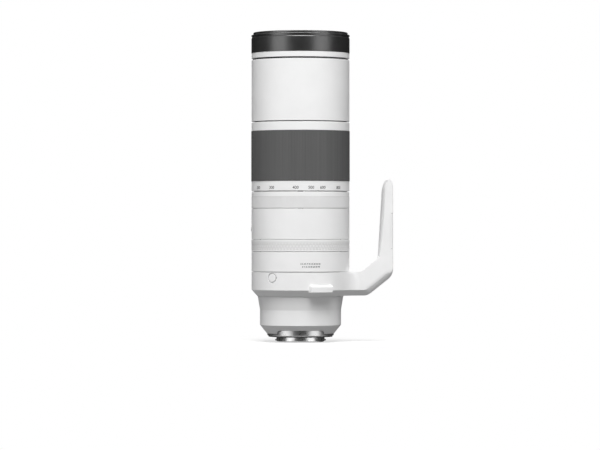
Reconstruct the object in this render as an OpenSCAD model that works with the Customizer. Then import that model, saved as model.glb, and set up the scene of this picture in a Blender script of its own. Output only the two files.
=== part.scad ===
// Telephoto zoom lens with a turning tripod collar, standing on its bayonet.
// Origin at the centre of the mounting flange, +Z along the optical axis to the front glass,
// +X towards the tripod foot. Sizes are in millimetres.

/* [Barrel] */
// Outer diameter of the barrel covers
barrel_d = 101.6; // [100:0.2:104]
// Wall of the white covers over the main tube
cover_wall = 2.4; // [2.2:0.1:2.8]
// Wall of the fixed main tube
tube_wall = 1.4; // [1.2:0.1:1.6]
// Wall of the cam tube
cam_wall = 1.3; // [1.1:0.1:1.5]
// Wall of the extension tube
extension_wall = 1.5; // [1.2:0.1:1.8]
// Radial clearance between tubes and rings that slide or turn
sleeve_gap = 0.3; // [0.25:0.05:0.4]
// Axial gap between neighbouring rings
ring_gap = 0.3; // [0.3:0.1:0.6]
// Bevel on the edges of the rings
edge_bevel = 0.3; // [0.2:0.1:0.5]

/* [Lengths along the axis] */
// Height of the slope at the rear end
rear_slope_h = 8.8; // [7:0.2:10]
// Height of the straight rear barrel
rear_cyl_h = 15.7; // [14:0.2:20]
// Height of the widening rear barrel
rear_cone_h = 13.8; // [12:0.2:18]
// Height of the tripod collar
collar_h = 25.3; // [23:0.2:28]
// Height of the white band above the collar
mid_h = 20.5; // [18:0.5:24]
// Height of the control ring
control_h = 12.3; // [10:0.1:14]
// Height of the main barrel cover
main_h = 31.5; // [30:0.5:36]
// Height of the focus ring
focus_h = 12.6; // [10:0.1:14]
// Height of the index band
index_h = 4.2; // [3.4:0.2:6]
// Height of the number band on the zoom ring
scale_h = 10.4; // [9:0.2:13]
// Height of the rubber grip on the zoom ring
grip_h = 52; // [48:0.5:56]
// Height of the band in front of the grip
zoom_lip_h = 8.6; // [7:0.2:10]
// Height of the front barrel
front_h = 64.6; // [62:0.2:70]
// Height of the trim ring
trim_h = 5.6; // [5:0.1:8]
// Height of the black front ring
front_ring_h = 21.4; // [20:0.1:24]
// Groove below and above the zoom ring
zoom_gap = 0.9; // [0.5:0.1:1]
// Groove below the trim ring
trim_gap = 0.9; // [0.4:0.1:1.2]

/* [Zoom] */
// Turn of the zoom ring in degrees
zoom_turn = 140; // [120:1:145]
// Travel of the front group
zoom_travel = 90; // [80:1:92]
// Travel of the variator
variator_travel = 24; // [18:1:28]
// Diameter of the cam rollers
roller_d = 5; // [4.4:0.2:5.6]
// Clearance round a roller in its slots
roller_gap = 0.4; // [0.35:0.05:0.5]
// Thickness of the rubber grip
grip_t = 1.25; // [1:0.05:1.4]
// Length of the extension tube behind the front barrel
tail_h = 121; // [118:0.5:122]
// Height of the solid lip inside the zoom ring
ledge_h = 12.4; // [11:0.2:13]

/* [Front] */
// Filter thread diameter
filter_d = 95; // [94:0.5:95.5]
// Depth of the filter thread
filter_depth = 4.6; // [4:0.1:5]
// Wall of the lip round the filter thread
lip_wall = 1.5; // [1.2:0.1:1.6]
// Height of that lip
lip_h = 2.5; // [2.2:0.1:3]
// Height of the hood groove
hood_groove_h = 2.1; // [1.6:0.1:2.4]
// Depth of the hood groove
hood_groove_t = 0.6; // [0.4:0.1:0.8]
// Height of the rim in front of the hood groove
hood_rim_h = 1.3; // [1:0.1:1.6]
// Wall of the front barrel
front_wall = 1.8; // [1.5:0.1:2]
// Diameter of the front glass
glass_d = 90; // [86:0.5:90.5]
// Edge height of the front glass
glass_edge = 12.7; // [10:0.1:14]
// Crown of the front glass
glass_crown = 3.9; // [3:0.1:4.4]

/* [Mount] */
// Diameter of the metal mount ring
mount_d = 69.2; // [67:0.2:70.4]
// Height of the metal mount ring
mount_h = 2.5; // [2.2:0.1:3.2]
// Diameter of the bayonet spigot
spigot_d = 50; // [49:0.2:50.4]
// Diameter over the bayonet lugs
lug_d = 52.6; // [51.6:0.2:53]
// Depth of the bayonet below the flange
spigot_h = 5.8; // [5.4:0.1:6.2]
// Inner diameter of the bayonet
throat_d = 47.2; // [46.4:0.2:47.6]
// Angle of one bayonet lug
lug_angle = 64; // [50:1:70]
// Radius of the circle of mount screws
screw_pcr = 29.2; // [28.8:0.1:29.6]
// Height of the contact block below the bayonet
contact_drop = 0.5; // [0.3:0.1:0.8]
// Width of the arch in the rear slope where the mount shows
window_w = 48.4; // [44:0.2:52]
// Height of that arch
window_h = 3.6; // [3:0.1:4]
// Drop of the mount's seal below the flange
seal_drop = 1; // [0.6:0.1:1.2]

/* [Rear barrel and collar] */
// Diameter of the rear barrel
rear_d = 84.2; // [83:0.2:85.4]
// Diameter of the rear barrel below the collar
rear_top_d = 88.8; // [88.4:0.1:89.6]
// Wall of the rear barrel
rear_wall = 2.2; // [1.8:0.1:2.6]
// Diameter of the neck that carries the collar
neck_d = 86.8; // [86:0.1:87.4]
// Height of the slope under the collar
collar_slope_h = 6.7; // [6:0.1:7.4]
// Lower diameter of that slope
collar_low_d = 89.8; // [89.4:0.1:91]
// Width of a strap lug
lug_w = 25; // [20:0.5:28]
// Height of a strap lug
lug_h = 8; // [7:0.2:9]
// How far a strap lug stands out
lug_out = 4.5; // [4:0.1:5.5]
// Diameter of the round collar plug
plug_d = 9.5; // [8:0.1:11]

/* [Tripod foot] */
// Distance from the axis to the base of the foot
foot_reach = 95.8; // [92:0.2:104]
// Height of the foot above the collar
foot_rise = 95.9; // [85:0.5:105]
// Width of the foot
foot_w = 27; // [24:0.5:30]
// Thickness of the foot at its lower end
foot_t = 14.8; // [13.5:0.1:17]
// Thickness of the foot near its top
foot_top_t = 11.6; // [11:0.1:13]
// Bevel of the arm's lower edges
arm_bevel = 6; // [4:0.2:6.6]
// Fillet between the arm and the collar
arm_fillet = 10; // [8:0.5:12]
// How far the slanted part of the foot reaches across on its outer side
bend_out = 26.4; // [24:0.2:28]
// The same on its inner side
bend_in = 18.2; // [16:0.2:19]
// Depth of the bevel on the foot's inner edges
foot_bevel = 2.8; // [2:0.1:4]
// Width of that bevel across the foot
foot_bevel_w = 7; // [4:0.5:8]
// Bevel of the foot's outer edges
base_bevel = 1; // [0.6:0.1:1.6]
// Length of the base plate
plate_h = 36.5; // [30:0.5:44]
// Thickness of the base plate
plate_t = 2.2; // [1.8:0.1:2.8]
// Radius of the tripod thread
socket_r = 3.2; // [3.1:0.05:3.3]
// Depth of the tripod thread
socket_h = 9; // [7:0.5:9.5]

/* [Lock knob] */
// Angle of the knob round the axis
knob_angle = 105; // [100:1:115]
// Diameter of the knob
knob_d = 18; // [15:0.5:20]
// Height of the knob
knob_h = 11; // [9:0.5:14]
// Radius of the knob's stud
stud_r = 2.5; // [2:0.1:3]
// Running clearance of the stud
stud_gap = 0.06; // [0.04:0.01:0.1]

/* [Buttons and switches] */
// Diameter of a function button
button_d = 8.4; // [7.6:0.1:9]
// Clearance round a button
button_gap = 0.35; // [0.3:0.05:0.5]
// How far a button stands out
button_out = 0.3; // [0.2:0.05:0.6]
// Travel of a button
button_travel = 0.5; // [0.3:0.05:0.6]
// Angle of the hidden button round the axis
side_angle = 134; // [130:1:140]
// Half angle of the switch panel
panel_half = 27; // [24:1:29]
// Height of the switch panel
panel_h = 23; // [20:0.5:25]
// Thickness of the switch panel
panel_t = 0.7; // [0.5:0.1:1]
// Travel of a switch
switch_travel = 4; // [3:0.2:5]

/* [Inner modules] */
// Outer diameter of the inner chassis
chassis_d = 72; // [70:0.2:72.4]
// Wall of the inner chassis
chassis_wall = 2.2; // [1.8:0.1:2.6]
// Travel of the focus cell each way
focus_travel = 5; // [3:0.5:5.5]
// Radius of the focus rods
rod_r = 1.5; // [1.2:0.1:1.8]
// Running clearance of the focus rods
rod_gap = 0.06; // [0.04:0.01:0.1]
// Travel of the stabilizer each way
shift = 1; // [0.6:0.1:1.2]
// Radius of the circle of blade pivots
pivot_r = 24; // [23.4:0.2:25]
// Distance from a blade's pivot to its drive pin
drive_arm = 7; // [6.4:0.2:7.4]
// Swing of an iris blade in degrees
blade_swing = 30; // [20:1:32]
// Height step from one blade to the next
blade_step = 0.4; // [0.35:0.05:0.45]
// Radius of the blades' pins
blade_pin_r = 0.8; // [0.6:0.05:1]

/* [Hidden] */
$fn = 96;

// Small steps between neighbouring pieces
thread_step = 0.9;
glass_wall = 1.6;
cell_step = 2.4;
ring_out = 0.2;
chassis_fit = 0.2;
iris_rim = 2.8;
rim_w = 3.6;

// Radii, from the outside in
body_r = barrel_d / 2;
tube_r = body_r - cover_wall;
tube_in = tube_r - tube_wall;
ring_in = tube_r + sleeve_gap;
cam_r = tube_in - sleeve_gap;
cam_in = cam_r - cam_wall;
ext_r = cam_in - sleeve_gap;
ext_in = ext_r - extension_wall;
filter_r = filter_d / 2;
lip_r = filter_r + lip_wall;
glass_r = glass_d / 2;
cell_r = max(filter_r - thread_step, glass_r + glass_wall);
front_r = max(body_r, lip_r + front_wall, cell_r + cell_step + front_wall);
front_in = front_r - front_wall;
front_ring_r = front_r + ring_out;
mount_r = mount_d / 2;
spigot_r = spigot_d / 2;
throat_r = throat_d / 2;
chassis_r = chassis_d / 2;
rear_r = max(rear_d / 2, chassis_r + chassis_fit + rear_wall);
neck_r = neck_d / 2;
collar_low_r = collar_low_d / 2;
chassis_in = chassis_r - chassis_wall;
chassis_rim = chassis_r + rim_w;
iris_r = pivot_r + drive_arm + iris_rim;

// Heights, from the flange up
z_rear = mount_h + rear_slope_h;
z_cone = z_rear + rear_cyl_h;
z_rear_top = z_cone + rear_cone_h;
z_collar = z_rear_top + ring_gap;
z_tube = z_collar + collar_slope_h;
z_collar_top = z_collar + collar_h;
z_mid = z_collar_top + ring_gap;
z_control = z_mid + mid_h + ring_gap;
z_main = z_control + control_h + ring_gap;
z_main_top = z_main + main_h;
z_focus = z_main_top + ring_gap;
z_index = z_focus + focus_h + ring_gap;
z_zoom = z_index + index_h + zoom_gap;
z_grip = z_zoom + scale_h;
z_grip_top = z_grip + grip_h;
z_zoom_top = z_grip_top + zoom_lip_h;
z_front = z_zoom_top + zoom_gap;
z_front_top = z_front + front_h;
z_trim = z_front_top + trim_gap;
z_black = z_trim + trim_h;
z_top = z_black + front_ring_h;
z_ledge = z_zoom_top - ledge_h;
z_tube_top = z_ledge - 3.4;
z_thread = z_top - filter_depth;

// Zoom drive
z_tail = z_front - tail_h;
z_roller = z_tail + 6;
slot_w = roller_d + 2 * roller_gap;
roller_out = tube_r - 0.4;
roller_a = 30;
variator_a = 90;
flange_h = 3;
z_seat = z_tube + flange_h;
z_variator = z_seat + 15;
variator_h = 18;
variator_r = 24;
variator_seat = 4;
variator_t = 8;
variator_hollow = 2.4;
z_cam_pin = z_variator + variator_h / 2;

// Front group
z_ext_top = z_front_top - 5;
glass_drop = 5.8;
retainer_lip = 1;
retainer_edge = 0.6;
z_glass = z_thread - glass_drop - glass_edge;
z_cell_top = z_glass + glass_edge + 0.3;

// Rear optics and contacts
rear_cell_r = 22.4;
rear_glass_r = 18;
rear_glass_h = 5;
rear_seat = 2;
rear_hollow = 1.2;
rear_crown = 1.6;
baffle_step_r = 18.6;
contact_in = 19.4;
contact_r = 21.4;
pin_r = 0.6;
pin_h = 2.4;

// Collar and foot
window_round = 3;
window_wall = 1;
lug_a = 64.5;
lug_end = 3.5;
lug_skin = 0.9;
lug_slot = 2;
lug_cut = 4;
plug_a = -125.2;
plug_z = z_collar_top - 5.9;
plug_floor = 1.4;
knob_z = z_collar + collar_slope_h + 9.2;
boss_r = body_r + 3.4;
arm_z0 = z_collar + 0.6;
foot_top = z_collar_top + foot_rise;
plate_drop = 35.5;
plate_z = foot_top - plate_drop - plate_h;

// Controls
button_z = z_main + 12.5;
button_in = tube_r + button_travel + 0.25;
switch_w = 4.4;
switch_l = 5;
switch_z = z_main + main_h / 2 + switch_travel / 2;
switch_floor = tube_r + 0.8;
switch_top = body_r + panel_t + 1.2;
switch_gap = 0.3;

// Inner modules
z_floor = mount_h + 11.5;
floor_t = 2;
z_mid_plate = z_seat - 13.3;
rod_in = 6.8;
rod_ring = chassis_in - rod_in;
motor_t = 7.4;
motor_w = 12;
motor_in = chassis_in - motor_t;
motor_gap = 0.5;
focus_wall = 7;
focus_rod_gap = 6;
focus_r = rod_ring - focus_rod_gap;
focus_glass_r = focus_r - focus_wall;
focus_glass_h = 5;
focus_z = (z_floor + floor_t + z_mid_plate) / 2;
focus_cell_h = 8;
arm_w = 6;
stab_z = z_mid_plate + floor_t;
stab_r = chassis_in - shift - 1;
rail_y = stab_r * 0.8;
rail_w = 3;
rail_h = 1.2;
rail_gap = 0.1;
plate_step = 2.5;
stab_t = 2.2;
stab_open = 18;
stab_glass_r = 14.5;
stab_crown = 1.2;
z_iris = z_seat + 1.2;
z_rim_top = z_seat + 1.8;
iris_seat = 2.6;
plate_open = 17;
blade_count = 7;
blade_t = 0.2;
z_blade = z_iris + 1.8;
z_iris_ring = z_blade + blade_count * blade_step + 0.3;
z_chassis_top = z_iris_ring + 3;
iris_open_r = pivot_r - 6.4;
iris_turn = asin(drive_arm * sin(blade_swing) / (pivot_r + drive_arm * cos(blade_swing)));

function radius_at(z) = mount_r + (rear_r - mount_r) * (z - mount_h) / rear_slope_h;
function unit(v) = v / norm(v);
function cap_r(r, s) = (r * r + s * s) / (2 * s);

// Points of an arc of radius r that rounds the corner k between the points a and b
function corner(a, k, b, r, n) =
    let (u = unit(a - k), v = unit(b - k), h = acos(u * v) / 2,
        c = k + unit(u + v) * r / sin(h), p = unit(k + u * r / tan(h) - c),
        q = unit(k + v * r / tan(h) - c), f = 180 - 2 * h)
    [for (i = [0 : n]) c + r * (sin((1 - i / n) * f) * p + sin(i / n * f) * q) / sin(f)];

module tube(r0, r1, z0, z1) {
    rotate_extrude() translate([r0, z0]) square([r1 - r0, z1 - z0]);
}

module bevel_tube(r0, r1, z0, z1, b) {
    rotate_extrude()
        polygon([[r0, z0], [r1 - b, z0], [r1, z0 + b], [r1, z1 - b], [r1 - b, z1], [r0, z1]]);
}

module sector(r0, r1, z0, z1, a, half) {
    rotate([0, 0, a - half])
        rotate_extrude(angle = 2 * half) translate([r0, z0]) square([r1 - r0, z1 - z0]);
}

module at(a, r, z) {
    rotate([0, 0, a]) translate([r, 0, z]) children();
}

module radial(a, z, r, r0, r1) {
    at(a, r0, z) rotate([0, 90, 0]) cylinder(r = r, h = r1 - r0);
}

module block(a, z, w, l, r0, r1) {
    at(a, r0, z) translate([0, -w / 2, -l / 2]) cube([r1 - r0, w, l]);
}

// Straight slot along the axis, with round ends
module guide_slot(a, z0, z1, w, r0, r1) {
    block(a, (z0 + z1) / 2, w, z1 - z0, r0, r1);
    radial(a, z0, w / 2, r0, r1);
    radial(a, z1, w / 2, r0, r1);
}

// Helical slot from angle a and height z, made of short straight runs that overlap a little
module helix_slot(a, z, turn, rise, w, r0, r1) {
    n = 10;
    rm = (r0 + r1) / 2;
    run = rm * turn * PI / 180;
    path = norm([run, rise]);
    e = w / 2 / path;
    for (i = [0 : n - 1])
        let (t = -e + (1 + 2 * e) * (i + 0.5) / n)
            at(a + turn * t, rm, z + rise * t) rotate([atan2(rise, run), 0, 0])
                cube([r1 - r0, (path + w) / n + 0.6, w], center = true);
}

// Lens of edge radius r between z0 and z1, crowned by s0 below and s1 above, hollow if negative
module glass(r, z0, z1, s0, s1) {
    rotate_extrude() difference() {
        intersection() {
            translate([0, z0 - max(s0, 0)]) square([r, z1 - z0 + max(s0, 0) + max(s1, 0)]);
            if (s0 > 0)
                translate([0, z0 - s0 + cap_r(r, s0)]) circle(cap_r(r, s0), $fn = 720);
            if (s1 > 0)
                translate([0, z1 + s1 - cap_r(r, s1)]) circle(cap_r(r, s1), $fn = 720);
        }
        if (s0 < 0)
            translate([0, z0 - s0 - cap_r(r - 1, -s0)]) circle(cap_r(r - 1, -s0), $fn = 720);
        if (s1 < 0)
            translate([0, z1 + s1 + cap_r(r - 1, -s1)]) circle(cap_r(r - 1, -s1), $fn = 720);
    }
}

// Fixed barrel
module main_tube() {
    color("DimGray") difference() {
        union() {
            tube(tube_in, tube_r, z_tube, z_tube_top);
            tube(chassis_r + chassis_fit, tube_r, z_tube, z_seat);
        }
        for (i = [0 : 2]) {
            guide_slot(roller_a + 120 * i, z_roller, z_roller + zoom_travel, slot_w,
                tube_in - 1, tube_r + 1);
            guide_slot(variator_a + 120 * i, z_cam_pin, z_cam_pin + variator_travel, slot_w,
                tube_in - 1, tube_r + 1);
        }
    }
}

module mid_barrel() {
    color("WhiteSmoke") bevel_tube(tube_r, body_r, z_mid, z_mid + mid_h, edge_bevel);
}

module main_barrel() {
    color("WhiteSmoke") difference() {
        union() {
            bevel_tube(tube_r, body_r, z_main, z_main_top, edge_bevel);
            sector(body_r - 1, body_r + 0.15, button_z - 5.5, button_z + 13, 180, 9);
        }
        radial(180, button_z, button_d / 2 + button_gap, tube_r - 1, body_r + 2);
        radial(side_angle, button_z, button_d / 2 + button_gap, tube_r - 1, body_r + 2);
        for (s = [-1, 1])
            block(90 + 13 * s, switch_z - switch_travel / 2, switch_w + 2 * switch_gap,
                switch_l + switch_travel + 2 * switch_gap, switch_floor, body_r + 2);
    }
}

module index_band() {
    color("WhiteSmoke") bevel_tube(tube_r, body_r - 0.2, z_index, z_index + index_h, edge_bevel);
}

module switch_panel() {
    color("Gainsboro") difference() {
        sector(body_r, body_r + panel_t, switch_z - switch_travel / 2 - panel_h / 2,
            switch_z - switch_travel / 2 + panel_h / 2, 90, panel_half);
        for (s = [-1, 1])
            block(90 + 13 * s, switch_z - switch_travel / 2, switch_w + 2 * switch_gap,
                switch_l + switch_travel + 2 * switch_gap, switch_floor, body_r + 3);
    }
}

module rear_barrel() {
    w = rear_wall;
    c = chassis_r + chassis_fit;
    color("WhiteSmoke") difference() {
        rotate_extrude()
            polygon([[26, mount_h], [mount_r + 0.4, mount_h], [rear_r, z_rear], [rear_r, z_cone],
                [rear_top_d / 2, z_rear_top], [neck_r, z_rear_top], [neck_r, z_tube], [c, z_tube],
                [c, z_rear_top], [rear_r - w, z_rear_top - 4], [rear_r - w, z_rear + 2],
                [radius_at(mount_h + 2.2) - 2, mount_h + 2.2], [26, mount_h + 2.2]]);
        for (i = [0 : 3])
            at(45 + 90 * i, screw_pcr, mount_h - 1) cylinder(r = 0.9, h = 2.6);
        mount_arch(mount_r - window_wall - 0.1, rear_r + 1, 0);
    }
}

// Bayonet mount
// Round-cornered arch seen from the front, between two radii, smaller all round by gap
module mount_arch(r0, r1, gap) {
    w = window_w / 2 - gap;
    z = mount_h + window_h - gap;
    l = mount_h - 1;
    intersection() {
        rotate([90, 0, 0]) linear_extrude(rear_r + 2)
            polygon(concat([[-w, l]], corner([-w, l], [-w, z], [w, z], window_round, 6),
                corner([-w, z], [w, z], [w, l], window_round, 6), [[w, l]]));
        tube(r0, r1, mount_h - 0.5, z_rear);
    }
}

module mount_ring() {
    color("Silver") difference() {
        union() {
            rotate_extrude()
                polygon([[throat_r, -spigot_h], [spigot_r - 0.4, -spigot_h],
                    [spigot_r, -spigot_h + 0.4], [spigot_r, 0.4], [lug_d / 2 + 0.3, 0.4],
                    [lug_d / 2 + 0.3, 0], [mount_r - 2.8, 0], [mount_r - 2.8, 0.9],
                    [mount_r - 1.4, 0.9], [mount_r - 1.4, 0], [mount_r - 1, 0], [mount_r, 0.8],
                    [mount_r, mount_h], [throat_r, mount_h]]);
            mount_arch(mount_r - window_wall, mount_r, 0.1);
            for (i = [0 : 2])
                rotate([0, 0, 30 + 120 * i - lug_angle / 2])
                    rotate_extrude(angle = lug_angle)
                        polygon([[spigot_r - 1, -spigot_h + 0.6], [lug_d / 2 - 0.4, -spigot_h + 0.6],
                            [lug_d / 2, -spigot_h + 1], [lug_d / 2, -spigot_h + 2.2],
                            [spigot_r - 1, -spigot_h + 2.2]]);
        }
        for (i = [0 : 3]) {
            at(45 + 90 * i, screw_pcr, -1) cylinder(r = 1, h = mount_h + 2);
            at(45 + 90 * i, screw_pcr, -1) cylinder(r = 1.8, h = 2.3);
        }
    }
}

module mount_screws() {
    color("Silver") for (i = [0 : 3])
        at(45 + 90 * i, screw_pcr, 0) difference() {
            union() {
                translate([0, 0, 0.2]) cylinder(r = 1.7, h = 1.1);
                translate([0, 0, 1]) cylinder(r = 0.9, h = mount_h + 0.6);
            }
            translate([-1.1, -0.2, 0]) cube([2.2, 0.4, 0.7]);
            translate([-0.2, -1.1, 0]) cube([0.4, 2.2, 0.7]);
        }
}

module mount_seal() {
    color("Black") tube(mount_r - 2.8, mount_r - 1.4, -seal_drop, 0.9);
}

module rear_baffle() {
    color("Black") difference() {
        tube(plate_open, throat_r, -1, mount_h);
        tube(plate_open - 1, baffle_step_r, 0.4, mount_h + 1);
    }
}

module contact_block() {
    color("Black") difference() {
        sector(contact_in, throat_r, -spigot_h - contact_drop, -1, 0, 27);
        for (i = [0 : 11])
            at(-23.1 + 4.2 * i, contact_r, -spigot_h - contact_drop - 1)
                cylinder(r = pin_r, h = pin_h + 1);
    }
}

module contact_pins() {
    color("Gold") for (i = [0 : 11])
        at(-23.1 + 4.2 * i, contact_r, -spigot_h - contact_drop) cylinder(r = pin_r, h = pin_h);
}

module rear_cell() {
    color("Black") difference() {
        tube(rear_glass_r - 1.6, rear_cell_r, mount_h, z_floor);
        translate([0, 0, mount_h + rear_seat]) cylinder(r = rear_glass_r, h = z_floor);
    }
}

module rear_glass() {
    color("LightBlue") glass(rear_glass_r, mount_h + rear_seat,
        mount_h + rear_seat + rear_glass_h, -rear_hollow, rear_crown);
}

module circuit_board() {
    color("DarkGreen") {
        difference() {
            tube(24, radius_at(mount_h + 2.2) - 3, mount_h + 2.2, mount_h + 3.4);
            sector(20, 26, mount_h + 2, mount_h + 4, 0, 20);
        }
        for (i = [0 : 4])
            block(70 + 50 * i, mount_h + 4.2, 6, 1.8, 27, 31.5);
    }
}

// Inner chassis and its modules
module inner_chassis() {
    color("DimGray") difference() {
        union() {
            rotate_extrude()
                polygon([[chassis_in, z_floor], [chassis_r, z_floor], [chassis_r, z_seat],
                    [chassis_rim, z_seat], [chassis_rim, z_rim_top], [iris_r + chassis_wall, z_rim_top],
                    [iris_r + chassis_wall, z_chassis_top], [iris_r, z_chassis_top],
                    [iris_r, z_iris], [iris_r - iris_seat, z_iris],
                    [iris_r - iris_seat, z_iris - floor_t], [chassis_in, z_iris - floor_t]]);
            tube(plate_open, chassis_in + 0.5, z_floor, z_floor + floor_t);
            tube(plate_open, chassis_in + 0.5, z_mid_plate, z_mid_plate + floor_t);
        }
        for (s = [0, 180]) {
            at(90 + s, rod_ring, z_floor + 0.8) cylinder(r = rod_r, h = 10);
            at(90 + s, rod_ring, z_mid_plate - 8) cylinder(r = rod_r, h = 9.2);
        }
    }
}

module focus_rods() {
    color("Silver") for (s = [0, 180])
        at(90 + s, rod_ring, z_floor + 0.8) cylinder(r = rod_r, h = z_mid_plate - z_floor + 0.4);
}

module focus_motor() {
    color("DarkSlateGray") intersection() {
        block(180, focus_z, motor_w, z_mid_plate - z_floor - floor_t, motor_in, chassis_r);
        cylinder(r = chassis_in, h = z_seat);
    }
}

module focus_cell() {
    h = focus_cell_h;
    color("DimGray") difference() {
        union() {
            tube(focus_glass_r, focus_r, focus_z - h / 2, focus_z + h / 2);
            block(90, focus_z, arm_w, h, focus_r - 1, rod_ring);
            block(-90, focus_z, arm_w, h, focus_r - 1, rod_ring + 1);
            block(180, focus_z, arm_w, h, focus_r - 1, motor_in - motor_gap);
            at(90, rod_ring, focus_z - h / 2) cylinder(r = arm_w / 2, h = h);
        }
        at(90, rod_ring, focus_z - h) cylinder(r = rod_r + rod_gap, h = 2 * h);
        block(-90, focus_z, 2 * (rod_r + rod_gap), 2 * h, rod_ring - 2, rod_ring + 4);
    }
}

module focus_glass() {
    color("LightBlue") glass(focus_glass_r, focus_z - focus_glass_h * 0.6,
        focus_z + focus_glass_h * 0.4, -1, -1);
}

module stabilizer_base() {
    color("DarkSlateGray") {
        tube(stab_open, chassis_in, stab_z, stab_z + 2);
        for (s = [-1, 1])
            translate([-9, s * rail_y - rail_w / 2, stab_z + 1.5])
                cube([18, rail_w, rail_h + 0.5]);
    }
}

module stabilizer_x_frame() {
    z = stab_z + plate_step - 0.2;
    color("Gray") difference() {
        union() {
            tube(stab_open, stab_r, z, z + stab_t);
            for (s = [-1, 1])
                translate([s * rail_y - rail_w / 2, -9, z + 1.7])
                    cube([rail_w, 18, rail_h + 0.5]);
        }
        for (s = [-1, 1])
            translate([-40, s * rail_y - rail_w / 2 - rail_gap, z - 1])
                cube([80, rail_w + 2 * rail_gap, rail_h + 1]);
    }
}

module stabilizer_y_frame() {
    z = stab_z + 2 * plate_step - 0.2;
    color("DimGray") difference() {
        tube(stab_glass_r, stab_r, z, z + stab_t);
        for (s = [-1, 1])
            translate([s * rail_y - rail_w / 2 - rail_gap, -40, z - 1])
                cube([rail_w + 2 * rail_gap, 80, rail_h + 1]);
    }
}

module stabilizer_glass() {
    z = stab_z + 2 * plate_step - 0.2;
    color("LightBlue") glass(stab_glass_r, z, z + stab_t, stab_crown, stab_crown);
}

// Iris with its drive ring and blades
module iris_base() {
    color("Black") difference() {
        tube(iris_open_r, iris_r, z_iris, z_iris + 1.5);
        for (i = [0 : blade_count - 1])
            at(i * 360 / blade_count, pivot_r, z_iris - 1) cylinder(r = blade_pin_r + 0.05, h = 4);
    }
}

module iris_ring() {
    color("Gray") difference() {
        tube(pivot_r + 1.4, iris_r - sleeve_gap, z_iris_ring, z_iris_ring + 1.5);
        for (i = [0 : blade_count - 1])
            guide_slot_flat(i * 360 / blade_count);
    }
}

module guide_slot_flat(a) {
    w = blade_pin_r + 0.2;
    r1 = pivot_r + drive_arm;
    r0 = pivot_r + drive_arm * cos(blade_swing) - 0.3;
    at(a, 0, z_iris_ring - 1) {
        translate([r0, -w, 0]) cube([r1 - r0, 2 * w, 4]);
        translate([r0, 0, 0]) cylinder(r = w, h = 4);
        translate([r1, 0, 0]) cylinder(r = w, h = 4);
    }
}

module iris_blade(i) {
    z = z_blade + i * blade_step;
    span = 360 / blade_count + 6;
    a = i * 360 / blade_count;
    r0 = iris_open_r + 0.2;
    r1 = pivot_r - 1.6;
    color("Black") rotate([0, 0, a]) {
        rotate_extrude(angle = span) translate([r0, z]) square([r1 - r0, blade_t]);
        at(span, (r0 + r1) / 2, z) cylinder(r = (r1 - r0) / 2, h = blade_t);
        translate([r0 + 1, -2, z]) cube([pivot_r - r0 - 1, 4, blade_t]);
        at(0, pivot_r, z) cylinder(r = 2, h = blade_t);
        translate([pivot_r, -1.4, z]) cube([drive_arm, 2.8, blade_t]);
        at(0, pivot_r + drive_arm, z) cylinder(r = 1.4, h = blade_t);
        at(0, pivot_r, z_iris + 0.3) cylinder(r = blade_pin_r, h = z - z_iris - 0.2);
        at(0, pivot_r + drive_arm, z) cylinder(r = blade_pin_r, h = z_iris_ring + 1.2 - z);
    }
}

// Zoom ring and cam tube
module zoom_ring() {
    b = edge_bevel;
    s = z_zoom_top - 6;
    g = body_r + 0.35 - grip_t;
    color("WhiteSmoke") difference() {
        rotate_extrude()
            polygon([[ring_in, z_zoom], [body_r - b, z_zoom], [body_r, z_zoom + b],
                [body_r, z_grip], [g, z_grip], [g, z_grip_top], [body_r, z_grip_top],
                [body_r, z_zoom_top - b], [body_r - b, z_zoom_top],
                [ext_r + sleeve_gap, z_zoom_top], [ext_r + sleeve_gap, s + 3],
                [ext_r + 2.2, s + 3], [ext_r + 2.2, s], [ext_r + sleeve_gap, s],
                [ext_r + sleeve_gap, z_ledge], [ring_in, z_ledge]]);
        for (i = [0 : 2])
            sector(cam_in - 1, cam_r, z_ledge - 1, z_ledge + 3, 60 + 120 * i, 6);
    }
}

module zoom_grip() {
    color("DimGray") bevel_tube(body_r + 0.35 - grip_t, body_r + 0.35, z_grip, z_grip_top, 0.3);
}

module dust_seal() {
    s = z_zoom_top - 6;
    color("Black") tube(ext_r + sleeve_gap, ext_r + 2.2, s, s + 3);
}

module cam_tube() {
    color("Silver") difference() {
        tube(cam_in, cam_r, z_variator - 1, z_ledge + 3);
        for (i = [0 : 2]) {
            sector(cam_in - 1, cam_r + 1, z_ledge, z_ledge + 4, 120 * i, 54);
            helix_slot(roller_a + 120 * i, z_roller, zoom_turn, zoom_travel, slot_w,
                cam_in - 1, cam_r + 1);
            helix_slot(variator_a + 120 * i, z_cam_pin, zoom_turn, variator_travel, slot_w,
                cam_in - 1, cam_r + 1);
        }
    }
}

// Front group
module front_barrel() {
    color("WhiteSmoke") difference() {
        bevel_tube(ext_r, front_r, z_front, z_front_top, edge_bevel);
        translate([0, 0, z_front + 2.5]) cylinder(r = front_in, h = front_h);
    }
}

module front_trim_ring() {
    color("WhiteSmoke") bevel_tube(front_in, front_r, z_trim, z_black, edge_bevel);
}

module front_ring() {
    r = front_ring_r;
    z_rim = z_top - lip_h - hood_rim_h;
    z_groove = z_rim - hood_groove_h;
    color("Black") difference() {
        rotate_extrude()
            polygon([[cell_r, z_black], [r - 0.3, z_black], [r, z_black + 0.3], [r, z_groove],
                [r - hood_groove_t, z_groove + hood_groove_t], [r - hood_groove_t, z_rim], [r, z_rim],
                [r, z_rim + hood_rim_h - 0.2], [r - 0.2, z_rim + hood_rim_h],
                [lip_r, z_rim + hood_rim_h + 0.5], [lip_r, z_top - 0.3], [lip_r - 0.3, z_top],
                [filter_r, z_top], [filter_r, z_thread], [cell_r, z_thread]]);
        for (i = [0 : 2])
            sector(r - hood_groove_t + 0.1, r + 1, z_rim - 0.4, z_rim + hood_rim_h + 1,
                75 + 120 * i, 11);
    }
}

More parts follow.
